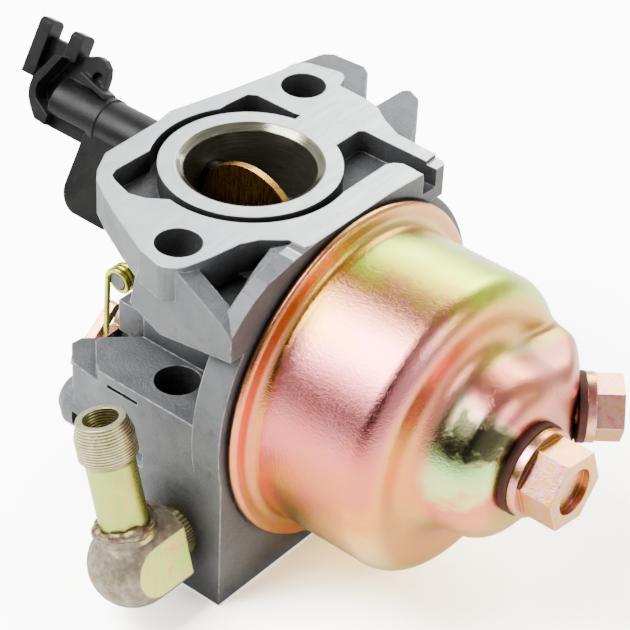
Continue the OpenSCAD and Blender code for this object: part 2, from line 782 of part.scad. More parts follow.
module float() {
    hinge_r = 1.5;
    color(black_plastic) {
        difference() {
            rotate_extrude($fn = smooth)
                polygon(concat([[8.2, -23], [8.2, float_bottom]],
                               arc([float_r - 2, float_bottom + 2], 2, -90, 0, 5),
                               arc([float_r - 1, -24], 1, 0, 90, 4)));
            block([-3.4, 8, -26.6], [3.4, 19, -20]);
        }
        difference() {
            union() {
                block([-3.2, 11.4, -26.7], [3.2, 17.2, -25]);
                rod_x(hinge_r, -3.2, 3.2, y = pin_y, z = pin_z);
                for (side = [-1, 1]) {
                    slab_x(side * 2.4 - 0.8, side * 2.4 + 0.8)
                        polygon([[pin_y - 1.3, pin_z + 0.4], [pin_y + 1.3, pin_z + 0.4],
                                 [pin_y - 1, -26], [13.4, -26.6], [13.4, -25]]);
                }
            }
            rod_x(pin_r + run_gap, -5, 5, y = pin_y, z = pin_z);
        }
    }
}

module float_hinge_pin() {
    color(steel) rod_x(pin_r, -6.4, 6.4, y = pin_y, z = pin_z);
}

module needle_seat() {
    color(brass) translate([0, seat_y, 0]) difference() {
        rod_z(seat_r, -19.4, -13.5);
        rod_z(1, -20, -13);
        rod_z(1.85, -20, -16.2);
        translate([0, 0, -16.2]) cylinder(r1 = 1.85, r2 = 1, h = 1, $fn = smooth);
    }
}

module inlet_needle() {
    color(rubber) translate([0, seat_y, 0]) {
        rod_z(1.75, -23.6, -16.25);
        translate([0, 0, -16.25]) cylinder(r1 = 1.2, r2 = 0.6, h = 0.8, $fn = smooth);
        rod_z(0.9, -24.96, -23.4);
    }
}

module needle_clip() {
    color(steel) translate([0, seat_y, 0]) flat_ring(0.93, 1.5, -24.3, -23.9);
}

// ---------------------------------------------------------------- fuel elbow

module fuel_elbow() {
    tube_r = 3.45;
    ball_r = 6.3;
    flat_at = 5.1;
    block_end = 5.8;
    barb_top = 22.8;
    land_from = 17.4;
    land_l = 3;
    color(zinc_yellow) translate([elbow_x, inlet_y, inlet_z]) rotate([90 - barb_tilt, 0, 0])
        difference() {
            union() {
                // Forged knuckle with two milled flats
                difference() {
                    rotate([0, 90, 0]) rotate_extrude($fn = smooth)
                        polygon(concat(arc([0, 0], ball_r, -90, 0, 10),
                                       [[ball_r, block_end], [0, block_end]]));
                    for (side = [0, 1]) {
                        mirror([0, side, 0]) block([-4.2, flat_at, -8], [8, 8, 8]);
                    }
                }
                rod_z(4.3, 0, ball_r);
                rod_z(tube_r, 0, barb_top);
                // Barbed end with a plain land
                translate([0, 0, land_from - 1])
                    cylinder(r1 = tube_r, r2 = barb_r, h = 1, $fn = smooth);
                rod_z(barb_r, land_from, land_from + land_l);
                translate([0, 0, land_from + land_l])
                    cylinder(r1 = barb_r, r2 = tube_r, h = barb_top - land_from - land_l, $fn = smooth);
                rod_x(elbow_stub_r, 0, elbow_stub_end - elbow_x);
            }
            rod_z(2.5, -1.9, barb_top + past);
            rod_x(1.7, 0, 25);
        }
}

// Pressed plugs that close the drilled passages
module passage_plugs() {
    color(steel) rod_x(3.17, passage_x + 0.2, passage_x + 1.8, y = -8, z = -3);
}

body();
bowl();
bowl_gasket();
bowl_bolt();
bowl_bolt_washer();
drain_bolt();
drain_bolt_washer();
drain_weld_nut();
choke_lever();
choke_plate();
throttle_shaft();
throttle_plate();
throttle_plate_screws();
throttle_lever();
throttle_shaft_seal();
throttle_shaft_clip();
throttle_spring();
idle_stop_screw();
idle_stop_spring();
idle_mixture_screw();
idle_mixture_spring();
pilot_jet();
main_nozzle();
main_jet();
float();
float_hinge_pin();
inlet_needle();
needle_seat();
needle_clip();
fuel_elbow();
passage_plugs();
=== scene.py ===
import json
import math

import bpy
import numpy as np
from mathutils import Matrix, Vector


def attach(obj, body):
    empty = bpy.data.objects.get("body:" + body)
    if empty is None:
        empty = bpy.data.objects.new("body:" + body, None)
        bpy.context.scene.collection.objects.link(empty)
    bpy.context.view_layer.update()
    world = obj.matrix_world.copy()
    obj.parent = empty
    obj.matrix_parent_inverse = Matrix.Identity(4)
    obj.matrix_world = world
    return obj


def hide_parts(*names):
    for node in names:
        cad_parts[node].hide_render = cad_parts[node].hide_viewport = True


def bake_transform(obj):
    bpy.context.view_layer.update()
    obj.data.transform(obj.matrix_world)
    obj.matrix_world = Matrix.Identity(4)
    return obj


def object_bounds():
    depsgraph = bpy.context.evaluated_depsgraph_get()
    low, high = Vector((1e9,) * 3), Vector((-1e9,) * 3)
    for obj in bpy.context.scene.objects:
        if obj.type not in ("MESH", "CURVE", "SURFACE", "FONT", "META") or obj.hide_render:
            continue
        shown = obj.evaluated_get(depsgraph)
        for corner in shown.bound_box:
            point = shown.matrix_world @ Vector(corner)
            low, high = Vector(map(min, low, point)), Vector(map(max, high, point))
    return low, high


MM = 0.001

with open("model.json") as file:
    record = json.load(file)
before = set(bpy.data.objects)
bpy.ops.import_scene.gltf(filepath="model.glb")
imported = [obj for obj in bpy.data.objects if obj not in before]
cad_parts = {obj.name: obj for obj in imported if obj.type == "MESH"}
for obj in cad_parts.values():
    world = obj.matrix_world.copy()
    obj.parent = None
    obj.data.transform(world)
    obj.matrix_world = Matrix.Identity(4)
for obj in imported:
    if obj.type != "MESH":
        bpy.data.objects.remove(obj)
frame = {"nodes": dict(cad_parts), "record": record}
cad_low, cad_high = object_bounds()
cad = frame["nodes"]

# Places on the carburettor, in millimetres in the frame's axes
INTAKE_FACE = -25.4  # Y of the milled front of the intake flange
STEP_FACE = -24.9  # Y of the shallow step at the flange's corner
ENGINE_FACE = 27  # Y of the milled back of the engine flange
BOSS_TOPS = 17.5  # Z of the milled tops of the shaft bosses
FACE_BAND = 0.12  # how near to a milled face a point counts as on it
THROAT_RADIUS = 10.35  # just outside the mouth of the bore

BOWL_CENTRE = np.array([0.0, 0.0, -30.0])
BOWL_RADIUS = 22.1
BOWL_FLOOR = -49.5
BOWL_CORNER = 3.7
SHOULDER = -39.55  # Z of the bowl's flat step
WALL = 0.9  # the bowl's sheet
NOSE_TOP, NOSE_RADIUS, NOSE_SLOPE, NOSE_CORNER = -41.5, 12.95, 0.15, 3.9
CHANNEL_HALF_WIDTH, CHANNEL_TAPER, CHANNEL_CORNER = 12.2, 0.235, 4.5
DRAIN_X, DRAIN_Z, DRAIN_TILT = 14.6, -46.9, 50  # a point of the drain's facet, and its lean

ELBOW = (-34.6, 17.8, -10.4)  # middle of the fuel elbow's block
TUBE_TILT = math.radians(75.5)  # lean of the elbow's tube from Z towards the intake
TUBE_AXIS = (0, -math.sin(TUBE_TILT), math.cos(TUBE_TILT))

UP = Vector((0, -1, 0))  # the carburettor stands on its engine face


# ---------------------------------------------------------------- node graphs


class Graph:
    """A material's node tree, with short ways to add and join nodes."""

    def __init__(self, name, tree=None):
        if tree is None:
            self.material = bpy.data.materials.new(name)
            self.material.use_nodes = True
            tree = self.material.node_tree
            kind = "ShaderNodeOutputMaterial"
        else:
            kind = "ShaderNodeOutputWorld"
        self.tree = tree
        tree.nodes.clear()
        self.output = tree.nodes.new(kind)
        coordinates = self.add("ShaderNodeTexCoord")
        self.coords = coordinates.outputs["Object"]
        self.normal = coordinates.outputs["Normal"]
        self.direction = coordinates.outputs["Generated"]

    def add(self, kind, inputs=None, **settings):
        node = self.tree.nodes.new(kind)
        for key, value in settings.items():
            setattr(node, key, value)
        for key, value in (inputs or {}).items():
            self.feed(node.inputs[key], value)
        return node

    def feed(self, socket, value):
        if isinstance(value, bpy.types.NodeSocket):
            self.tree.links.new(value, socket)
        elif socket.type == "RGBA" and len(value) == 3:
            socket.default_value = (*value, 1)
        else:
            socket.default_value = value

    def math(self, operation, a, b=0.0):
        return self.add("ShaderNodeMath", {0: a, 1: b}, operation=operation).outputs[0]

    def vector(self, operation, a, b=(0, 0, 0)):
        node = self.add("ShaderNodeVectorMath", {0: a, 1: b}, operation=operation)
        return node.outputs["Value" if operation in ("DOT_PRODUCT", "LENGTH") else "Vector"]

    def split(self, vector):
        return self.add("ShaderNodeSeparateXYZ", {0: vector}).outputs

    def noise(self, size_mm, detail=2.0, rough=0.5, vector=None, distortion=0.0):
        """Noise with features of about size_mm, from 0 to 1."""
        inputs = {
            "Vector": self.coords if vector is None else vector,
            "Scale": 1 / (size_mm * MM),
            "Detail": detail,
            "Roughness": rough,
            "Distortion": distortion,
        }
        return self.add("ShaderNodeTexNoise", inputs).outputs["Fac"]

    def cells(self, size_mm, vector=None):
        inputs = {"Vector": self.coords if vector is None else vector, "Scale": 1 / (size_mm * MM)}
        return self.add("ShaderNodeTexVoronoi", inputs).outputs["Distance"]

    def remap(self, value, low, high, to_low=0.0, to_high=1.0):
        inputs = {
            "Value": value,
            "From Min": low,
            "From Max": high,
            "To Min": to_low,
            "To Max": to_high,
        }
        return self.add("ShaderNodeMapRange", inputs).outputs[0]

    def near(self, value, target_mm, width_mm):
        """1 where value, in metres, lies within width_mm of target_mm."""
        off = self.math("ABSOLUTE", self.math("SUBTRACT", value, target_mm * MM))
        return self.remap(off, 0.7 * width_mm * MM, width_mm * MM, 1.0, 0.0)

    def either(self, *masks):
        total = masks[0]
        for mask in masks[1:]:
            total = self.math("MAXIMUM", total, mask)
        return total

    def both(self, a, b):
        return self.math("MULTIPLY", a, b)

    def ramp(self, value, stops):
        node = self.add("ShaderNodeValToRGB", {"Fac": value})
        elements = node.color_ramp.elements
        while len(elements) < len(stops):
            elements.new(0.5)
        for element, (place, colour) in zip(elements, stops):
            element.position = place
            element.color = (*colour, 1)
        return node.outputs["Color"]

    def mix(self, factor, a, b, blend="MIX"):
        node = self.add("ShaderNodeMix", data_type="RGBA", blend_type=blend)
        self.feed(node.inputs["Factor"], factor)
        self.feed(node.inputs["A"], a)
        self.feed(node.inputs["B"], b)
        return node.outputs["Result"]

    def blend(self, factor, a, b):
        """Mixes two numbers."""
        node = self.add("ShaderNodeMix", data_type="FLOAT")
        self.feed(node.inputs["Factor"], factor)
        self.feed(node.inputs["A"], a)
        self.feed(node.inputs["B"], b)
        return node.outputs["Result"]

    def grey(self, value):
        return self.add("ShaderNodeCombineColor", {0: value, 1: value, 2: value}).outputs[0]

    def bump(self, height, depth_mm, normal=None, strength=1.0):
        inputs = {"Height": height, "Distance": depth_mm * MM, "Strength": strength}
        if normal is not None:
            inputs["Normal"] = normal
        return self.add("ShaderNodeBump", inputs).outputs[0]

    def soft_edge(self, radius_mm):
        """Normal that rounds the edges over."""
        return self.add("ShaderNodeBevel", {"Radius": radius_mm * MM}, samples=4).outputs[0]

    def edge_mask(self, soft):
        """1 where the rounded normal leaves the true one, so on edges."""
        true = self.add("ShaderNodeNewGeometry").outputs["Normal"]
        return self.remap(self.vector("DOT_PRODUCT", soft, true), 0.995, 0.86)

    def openness(self, reach_mm):
        """Near 0 deep in a recess and 1 in the open."""
        node = self.add("ShaderNodeAmbientOcclusion", {"Distance": reach_mm * MM}, samples=4)
        return node.outputs["AO"]

    def facing(self):
        return self.add("ShaderNodeLayerWeight", {"Blend": 0.5}).outputs["Facing"]

    def surface(self, colour, metallic, roughness, normal=None, **more):
        inputs = {"Base Color": colour, "Metallic": metallic, "Roughness": roughness}
        if normal is not None:
            inputs["Normal"] = normal
        inputs.update(more)
        shader = self.add("ShaderNodeBsdfPrincipled", inputs)
        self.tree.links.new(shader.outputs[0], self.output.inputs["Surface"])
        return self.material


# ---------------------------------------------------------------- materials


def cast_aluminium():
    """Grey die casting with pale machined faces and a turned throat."""
    g = Graph("cast_aluminium")
    x, y, z = g.split(g.coords)
    _, ny, nz = g.split(g.normal)
    radius = g.math("SQRT", g.math("ADD", g.math("MULTIPLY", x, x), g.math("MULTIPLY", z, z)))
    front = g.either(g.near(y, INTAKE_FACE, FACE_BAND), g.near(y, STEP_FACE, FACE_BAND))
    front = g.both(front, g.remap(ny, -0.9, -0.97))
    rear = g.both(g.near(y, ENGINE_FACE, FACE_BAND), g.remap(ny, 0.9, 0.97))
    tops = g.both(g.near(z, BOSS_TOPS, FACE_BAND), g.remap(nz, 0.9, 0.97))
    milled = g.either(front, rear, tops)
    bore = g.remap(radius, THROAT_RADIUS * MM, 10.2 * MM)

    soft = g.soft_edge(0.35)
    edges = g.edge_mask(soft)
    open_air = g.openness(7)

    grain = g.noise(0.35, 4, 0.65)
    skin = g.noise(2.5, 4, 0.6)
    blotch = g.noise(9, 3, 0.6, distortion=0.6)
    greys = [(0.3, (0.125, 0.13, 0.138)), (0.52, (0.16, 0.165, 0.173))]
    greys += [(0.72, (0.21, 0.212, 0.217))]
    cast = g.ramp(blotch, greys)
    cast = g.mix(g.remap(grain, 0.4, 0.8, 0.0, 0.6), cast, (0.26, 0.265, 0.27))
    cast = g.mix(g.remap(skin, 0.40, 0.28, 0.0, 0.6), cast, (0.10, 0.10, 0.105))
    worn = g.both(edges, g.remap(g.noise(1.3, 3, 0.6), 0.32, 0.6))
    cast = g.mix(worn, cast, (0.62, 0.62, 0.62))
    # Painted shade: the casting is darkened in its recesses, by how open each point is
    recess_shade = g.mix(1.0, cast, (0.22, 0.21, 0.20), "MULTIPLY")
    cast = g.mix(g.remap(open_air, 0.25, 0.85), recess_shade, cast)

    streaks = g.noise(0.9, 3, 0.6, g.vector("MULTIPLY", g.coords, (0.12, 1.0, 1.0)))
    patches = g.noise(7, 3, 0.55, distortion=0.4)
    apart = g.vector("ADD", g.coords, (0.013, 0.002, 0.007))
    pits = g.remap(g.cells(1.7, apart), 0.05, 0.09, 1.0, 0.0)
    scratch = g.both(
        g.remap(g.noise(0.5, 2, 0.5, g.vector("MULTIPLY", g.coords, (1.0, 1.0, 0.06))), 0.69, 0.73),
        g.remap(g.noise(6, 2), 0.45, 0.6),
    )
    pales = [(0.3, (0.60, 0.625, 0.645)), (0.5, (0.68, 0.70, 0.715)), (0.72, (0.76, 0.775, 0.785))]
    machined = g.ramp(patches, pales)
    machined = g.mix(g.remap(streaks, 0.3, 0.75, 0.0, 0.35), machined, (0.54, 0.56, 0.575))
    marks = g.either(pits, scratch)
    machined = g.mix(g.math("MULTIPLY", marks, 0.55), machined, (0.30, 0.30, 0.31))
    machined = g.mix(g.both(edges, 0.4), machined, (0.86, 0.87, 0.88))

    turned = g.noise(0.22, 2, 0.5, g.vector("MULTIPLY", g.coords, (0.05, 1.0, 0.05)))
    throat = g.mix(g.remap(turned, 0.3, 0.7), (0.20, 0.19, 0.13), (0.34, 0.33, 0.25))

    colour = g.mix(milled, cast, machined)
    colour = g.mix(bore, colour, throat)
    metallic = g.blend(g.either(milled, bore), 0.72, 0.9)
    rough_cast = g.remap(grain, 0.3, 0.7, 0.44, 0.62)
    rough_milled = g.remap(g.either(streaks, pits), 0.3, 0.8, 0.36, 0.50)
    roughness = g.blend(milled, rough_cast, rough_milled)
    roughness = g.blend(bore, roughness, g.remap(turned, 0.3, 0.7, 0.10, 0.20))
    height = g.math("ADD", g.math("MULTIPLY", grain, 0.5), skin)
    cuts = g.math("MULTIPLY", g.math("SUBTRACT", streaks, marks), 0.25)
    height = g.blend(milled, height, cuts)
    height = g.blend(bore, height, g.math("MULTIPLY", turned, 0.12))
    return g.surface(colour, metallic, roughness, g.bump(height, 0.21, soft))


def film_colours():
    """Colours of a yellow-zinc film as it thickens."""
    return [
        (0.00, (0.78, 0.60, 0.12)),
        (0.14, (0.90, 0.62, 0.20)),
        (0.22, (0.95, 0.45, 0.06)),
        (0.29, (0.95, 0.27, 0.09)),
        (0.40, (0.95, 0.21, 0.17)),
        (0.50, (0.90, 0.26, 0.26)),
        (0.60, (0.94, 0.32, 0.32)),
        (0.68, (0.88, 0.34, 0.20)),
        (0.75, (0.80, 0.46, 0.09)),
        (0.82, (0.70, 0.82, 0.05)),
        (0.92, (0.76, 0.92, 0.12)),
        (1.00, (0.70, 0.82, 0.28)),
    ]


def zinc_bowl():
    """Iridescent yellow zinc on the drawn steel bowl."""
    g = Graph("zinc_bowl")
    x, y, z = g.split(g.coords)
    # Angle round the bowl, from 0 to 1, with its seam on the far side from the levers
    angle = g.math("ARCTAN2", g.math("MULTIPLY", y, -1.0), g.math("MULTIPLY", x, -1.0))
    around = g.remap(angle, -1.05, 2.15)
    cloud = g.noise(11, 3, 0.55, distortion=0.5)
    wisps = g.noise(2.6, 4, 0.6, distortion=1.0)
    slow, quick = g.remap(cloud, 0.3, 0.7, -0.07, 0.07), g.remap(wisps, 0.3, 0.7, -0.025, 0.025)
    drift = g.math("ADD", slow, quick)
    # Lower down the film turns thicker, so every colour moves round
    nose = g.remap(z, -40.5 * MM, -43 * MM)
    lift = g.remap(z, -22 * MM, -39 * MM, 0.05, -0.06)
    lift = g.math("ADD", lift, g.math("MULTIPLY", nose, 0.05))
    place = g.math("ADD", g.math("ADD", around, lift), drift)
    wall = g.ramp(place, film_colours())
    # Colours of the nose follow the angle too, but turn green where it faces the levers
    nose_colour = g.ramp(
        place,
        [
            (0.00, (0.80, 0.60, 0.14)),
            (0.16, (0.95, 0.40, 0.12)),
            (0.27, (0.95, 0.22, 0.14)),
            (0.355, (0.78, 0.88, 0.26)),
            (0.44, (0.48, 0.88, 0.28)),
            (0.52, (0.78, 0.74, 0.32)),
            (0.62, (0.95, 0.76, 0.42)),
            (0.70, (0.95, 0.28, 0.24)),
            (0.86, (0.94, 0.32, 0.16)),
            (1.00, (0.88, 0.30, 0.22)),
        ],
    )
    # Painted dark reflection on the nose beside the bolt, between the green and the pink
    dull = g.both(g.remap(place, 0.47, 0.51), g.remap(place, 0.66, 0.60))
    dull = g.both(dull, g.remap(z, -42.2 * MM, -43.4 * MM))
    # The painted reflection's colour is near black olive
    nose_colour = g.mix(g.both(dull, 0.93), nose_colour, (0.055, 0.055, 0.028))
    colour = g.mix(nose, wall, nose_colour)
    # Gold on the flat shoulder and along the rim's fillet
    band = g.both(g.remap(z, -38.9 * MM, -39.5 * MM), g.remap(z, -41.8 * MM, -40.2 * MM))
    gold = g.ramp(cloud, [(0.35, (0.94, 0.27, 0.14)), (0.6, (0.92, 0.38, 0.08))])
    colour = g.mix(g.both(band, 0.75), colour, gold)
    fillet = g.both(g.remap(z, -22.3 * MM, -21.2 * MM), g.remap(z, -20.0 * MM, -20.6 * MM))
    colour = g.mix(g.both(fillet, 0.7), colour, (0.90, 0.36, 0.05))
    rim = g.remap(z, -20.4 * MM, -20.0 * MM)
    orange = g.ramp(wisps, [(0.35, (0.94, 0.27, 0.15)), (0.65, (0.94, 0.40, 0.08))])
    colour = g.mix(g.both(rim, 0.8), colour, orange)
    shade = g.remap(g.openness(5), 0.3, 0.9, 0.4, 1.0)
    colour = g.mix(1.0, colour, g.grey(shade), "MULTIPLY")
    stain = g.remap(g.cells(3.4), 0.06, 0.1, 1.0, 0.0)
    colour = g.mix(g.both(stain, g.remap(cloud, 0.55, 0.65, 0.0, 0.4)), colour, (0.2, 0.12, 0.06))
    grain = g.noise(0.42, 3, 0.7)
    fine = g.noise(0.16, 2, 0.6)
    roughness = g.remap(grain, 0.3, 0.75, 0.14, 0.25)
    height = g.math("ADD", grain, g.math("MULTIPLY", fine, 0.7))
    return g.surface(colour, 1.0, roughness, g.bump(height, 0.045))


def zinc_steel(name, tones, size_mm=2.2, rough=(0.2, 0.38)):
    """Yellow-zinc plated steel in patches of the given tones."""
    g = Graph(name)
    soft = g.soft_edge(0.25)
    edges = g.edge_mask(soft)
    patch = g.noise(size_mm, 3, 0.6, distortion=0.8)
    tint = g.math("ADD", patch, g.remap(g.facing(), 0.0, 1.0, -0.08, 0.1))
    last = len(tones) - 1
    colour = g.ramp(tint, [(0.28 + 0.44 * i / last, tone) for i, tone in enumerate(tones)])
    colour = g.mix(g.both(edges, 0.5), colour, (0.92, 0.84, 0.66))
    # Painted shade: brown-grey darkening in the recesses, by how open each point is
    unshaded = g.remap(g.openness(2.5), 0.3, 0.85)
    colour = g.mix(unshaded, g.mix(1.0, colour, (0.30, 0.22, 0.15), "MULTIPLY"), colour)
    grain = g.noise(0.25, 3, 0.65)
    roughness = g.remap(grain, 0.3, 0.7, *rough)
    return g.surface(colour, 1.0, roughness, g.bump(grain, 0.03, soft))


def zinc_elbow():
    """Plated elbow: bright on the tube and the milled flats, dull on the forged knuckle."""
    g = Graph("zinc_elbow")
    soft = g.soft_edge(0.3)
    edges = g.edge_mask(soft)
    from_block = g.vector("SUBTRACT", g.coords, tuple(c * MM for c in ELBOW))
    up_tube = g.vector("DOT_PRODUCT", from_block, TUBE_AXIS)
    across = g.vector("DOT_PRODUCT", g.normal, (0, math.cos(TUBE_TILT), math.sin(TUBE_TILT)))
    tube = g.remap(up_tube, 6.4 * MM, 7.0 * MM)
    barb = g.remap(up_tube, 16.2 * MM, 16.8 * MM)
    flats = g.both(g.remap(g.math("ABSOLUTE", across), 0.94, 0.985), g.math("SUBTRACT", 1.0, tube))
    stub = g.remap(g.split(g.coords)[0], -28.9 * MM, -28.6 * MM)

    cloud = g.noise(4.5, 3, 0.6, distortion=0.8)
    spots = g.noise(1.3, 4, 0.65)
    grain = g.noise(0.3, 4, 0.7)
    ring = g.math("SINE", g.math("MULTIPLY", up_tube, 2 * math.pi / (0.42 * MM)))
    ring = g.math("ADD", g.remap(ring, -1, 1), g.remap(spots, 0.3, 0.7, -0.25, 0.25))
    orange_to_green = [
        (0.30, (0.80, 0.42, 0.16)),
        (0.42, (0.80, 0.74, 0.22)),
        (0.56, (0.58, 0.80, 0.16)),
        (0.72, (0.50, 0.74, 0.40)),
    ]
    browns = [(0.30, (0.20, 0.16, 0.11)), (0.50, (0.32, 0.27, 0.19)), (0.70, (0.46, 0.41, 0.30))]
    yellows = [(0.30, (0.60, 0.54, 0.13)), (0.50, (0.50, 0.62, 0.13)), (0.72, (0.74, 0.62, 0.14))]
    grooves = [(0.15, (0.28, 0.24, 0.10)), (0.6, (0.58, 0.52, 0.22)), (1.0, (0.74, 0.70, 0.44))]
    bright, dull = g.ramp(cloud, orange_to_green), g.ramp(spots, browns)
    sheath, lathe = g.ramp(cloud, yellows), g.ramp(ring, grooves)
    colour = g.mix(tube, dull, sheath)
    colour = g.mix(flats, colour, bright)
    turned = g.either(barb, stub)
    colour = g.mix(turned, colour, lathe)
    colour = g.mix(g.both(edges, 0.6), colour, (0.90, 0.84, 0.60))
    # Painted shade: brown-grey darkening in the elbow's recesses
    unshaded = g.remap(g.openness(2.5), 0.3, 0.85)
    colour = g.mix(unshaded, g.mix(1.0, colour, (0.30, 0.24, 0.17), "MULTIPLY"), colour)
    shiny = g.either(tube, flats)
    rough, smooth = g.remap(grain, 0.3, 0.7, 0.42, 0.62), g.remap(grain, 0.3, 0.7, 0.24, 0.36)
    roughness = g.blend(shiny, rough, smooth)
    ridges = g.math("MULTIPLY", g.both(turned, ring), 1.2)
    height = g.math("ADD", g.math("MULTIPLY", grain, 0.6), ridges)
    return g.surface(colour, 0.95, roughness, g.bump(height, 0.05, soft))


def moulded_plastic():
    """Near-black moulding, matt, with dust and paler edges."""
    g = Graph("moulded_plastic")
    soft = g.soft_edge(0.3)
    edges = g.edge_mask(soft)
    cloud = g.noise(5, 3, 0.6)
    grain = g.noise(0.3, 3, 0.6)
    dust = g.remap(g.noise(1.4, 4, 0.7), 0.55, 0.75)
    colour = g.ramp(cloud, [(0.3, (0.004, 0.0037, 0.0036)), (0.7, (0.009, 0.0083, 0.008))])
    colour = g.mix(g.both(dust, 0.2), colour, (0.035, 0.032, 0.03))
    colour = g.mix(g.both(edges, 0.4), colour, (0.06, 0.056, 0.054))
    roughness = g.remap(cloud, 0.3, 0.7, 0.30, 0.44)
    matt = {"Specular IOR Level": 0.26}
    return g.surface(colour, 0.0, roughness, g.bump(grain, 0.03, soft), **matt)


def turned_metal(name, dark, light, rough=(0.2, 0.36), edge=(0.9, 0.88, 0.84)):
    """Turned bar or sheet metal with faint marks and tarnish."""
    g = Graph(name)
    soft = g.soft_edge(0.15)
    edges = g.edge_mask(soft)
    tarnish = g.noise(3, 4, 0.6, distortion=0.7)
    marks = g.noise(0.3, 2, 0.5, g.vector("MULTIPLY", g.coords, (1.0, 0.15, 1.0)))
    colour = g.mix(g.remap(tarnish, 0.3, 0.7), dark, light)
    colour = g.mix(g.remap(marks, 0.55, 0.8, 0.0, 0.25), colour, dark)
    colour = g.mix(edges, colour, edge)
    # Painted shade: the metal is darkened where it sits deep in a recess
    recess_shade = g.mix(1.0, colour, (0.35, 0.3, 0.26), "MULTIPLY")
    colour = g.mix(g.remap(g.openness(1.5), 0.3, 0.8), recess_shade, colour)
    return g.surface(colour, 1.0, g.remap(marks, 0.3, 0.7, *rough), g.bump(marks, 0.012, soft))


def soft_sheet(name, dark, light):
    """Rubber or fibre sheet."""
    g = Graph(name)
    weave = g.noise(0.35, 4, 0.7)
    cloud = g.noise(2.5, 3, 0.6)
    colour = g.mix(g.remap(cloud, 0.3, 0.7), dark, light)
    return g.surface(colour, 0.0, g.remap(weave, 0.3, 0.7, 0.6, 0.85), g.bump(weave, 0.05))


def dress_cad():
    """Gives every CAD node the material of its slot."""
    bolt_tones = [(0.93, 0.26, 0.22), (0.88, 0.46, 0.38), (0.93, 0.42, 0.10), (0.72, 0.66, 0.10)]
    brass_tones = (0.60, 0.30, 0.06), (0.76, 0.41, 0.09)
    looks = {
        "cast": cast_aluminium(),
        "bowl_zinc": zinc_bowl(),
        "bolt_zinc": zinc_steel("zinc_bolt", bolt_tones, rough=(0.14, 0.28)),
        "elbow_zinc": zinc_elbow(),
        "gasket_rubber": soft_sheet("gasket_rubber", (0.010, 0.014, 0.013), (0.022, 0.030, 0.028)),
        "fibre": soft_sheet("fibre", (0.06, 0.018, 0.012), (0.13, 0.045, 0.028)),
        "plastic": moulded_plastic(),
        "brass": turned_metal("brass", *brass_tones, edge=(1.0, 0.52, 0.10)),
        "steel": turned_metal("steel", (0.34, 0.34, 0.35), (0.58, 0.58, 0.59)),
        "spring_steel": turned_metal("spring_steel", (0.40, 0.32, 0.07), (0.86, 0.88, 0.10)),
    }
    for part in frame["record"]["subparts"]:
        mesh = cad[part["node"]].data
        mesh.materials.clear()
        mesh.materials.append(looks[part["material_slot"]])
    return looks


# ---------------------------------------------------------------- meshes


def new_piece(name, vertices, faces, material, body):
    """Smooth mesh piece that rides on a CAD body. Vertices are in millimetres."""
    mesh = bpy.data.meshes.new(name)
    mesh.from_pydata((np.asarray(vertices) * MM).tolist(), [], faces)
    mesh.update()
    mesh.shade_smooth()
    mesh.materials.append(material)
    piece = bpy.data.objects.new(name, mesh)
    bpy.context.scene.collection.objects.link(piece)
    if body:
        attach(piece, body)
    return piece


def round_union(a, b, k):
    h = np.clip(0.5 + 0.5 * (b - a) / k, 0, 1)
    return b + (a - b) * h - k * h * (1 - h)


def round_cut(a, b, k):
    return -round_union(-a, -b, k)


def rounded_corner(across, below, radius):
    """Signed distance to the corner of two half spaces, rounded over."""
    qa, qb = across + radius, below + radius
    outside = np.hypot(np.maximum(qa, 0), np.maximum(qb, 0))
    return outside + np.minimum(np.maximum(qa, qb), 0) - radius


def bowl_field(points):
    """Signed distance, in millimetres, to the outside of the bowl below its rim."""
    x, y, z = points.T
    r = np.hypot(x, y)
    can = rounded_corner(r - BOWL_RADIUS, SHOULDER - z, BOWL_CORNER)
    taper = NOSE_RADIUS + (z - NOSE_TOP) * NOSE_SLOPE
    nose = rounded_corner((r - taper) * 0.989, BOWL_FLOOR - z, NOSE_CORNER)
    half_width = CHANNEL_HALF_WIDTH - CHANNEL_TAPER * x
    channel = round_cut((np.abs(y) - half_width) * 0.973, BOWL_FLOOR + 0.25 - z, CHANNEL_CORNER)
    drain = np.radians(DRAIN_TILT)
    facet = math.cos(drain) * (x - DRAIN_X) - math.sin(drain) * (z - DRAIN_Z)
    channel = round_cut(channel, facet, 2.2)
    channel = round_cut(channel, r - BOWL_RADIUS + 0.05, 2.5)
    channel = round_cut(channel, -x, 4.0)
    return round_union(round_union(can, nose, 3.6), channel, 1.3)


def bowl_surface(start, rows, columns, inset):
    """Rows of points from the wall's top at height start down to the middle of the floor."""
    top = math.atan2(start - BOWL_CENTRE[2], BOWL_RADIUS - inset)
    tilt = np.linspace(top, -math.pi / 2, rows + 1)[:-1]
    turn = np.linspace(0, 2 * math.pi, columns, endpoint=False)
    tilt, turn = np.meshgrid(tilt, turn, indexing="ij")
    away = np.stack([np.cos(tilt) * np.cos(turn), np.cos(tilt) * np.sin(turn), np.sin(tilt)], -1)
    away = away.reshape(-1, 3)
    near, far = np.full(len(away), 4.0), np.full(len(away), 45.0)
    for _ in range(34):
        middle = (near + far) / 2
        inside = bowl_field(BOWL_CENTRE + away * middle[:, None]) + inset < 0
        near, far = np.where(inside, middle, near), np.where(inside, far, middle)
    return (BOWL_CENTRE + away * near[:, None]).reshape(rows, columns, 3)


def circle_row(radius, z, columns):
    turn = np.linspace(0, 2 * math.pi, columns, endpoint=False)
    return np.stack([radius * np.cos(turn), radius * np.sin(turn), np.full(columns, z)], -1)


def arc_points(centre, radius, start, end, steps):
    for i in range(steps + 1):
        a = math.radians(start + (end - start) * i / steps)
        yield centre[0] + radius * math.cos(a), centre[1] + radius * math.sin(a)


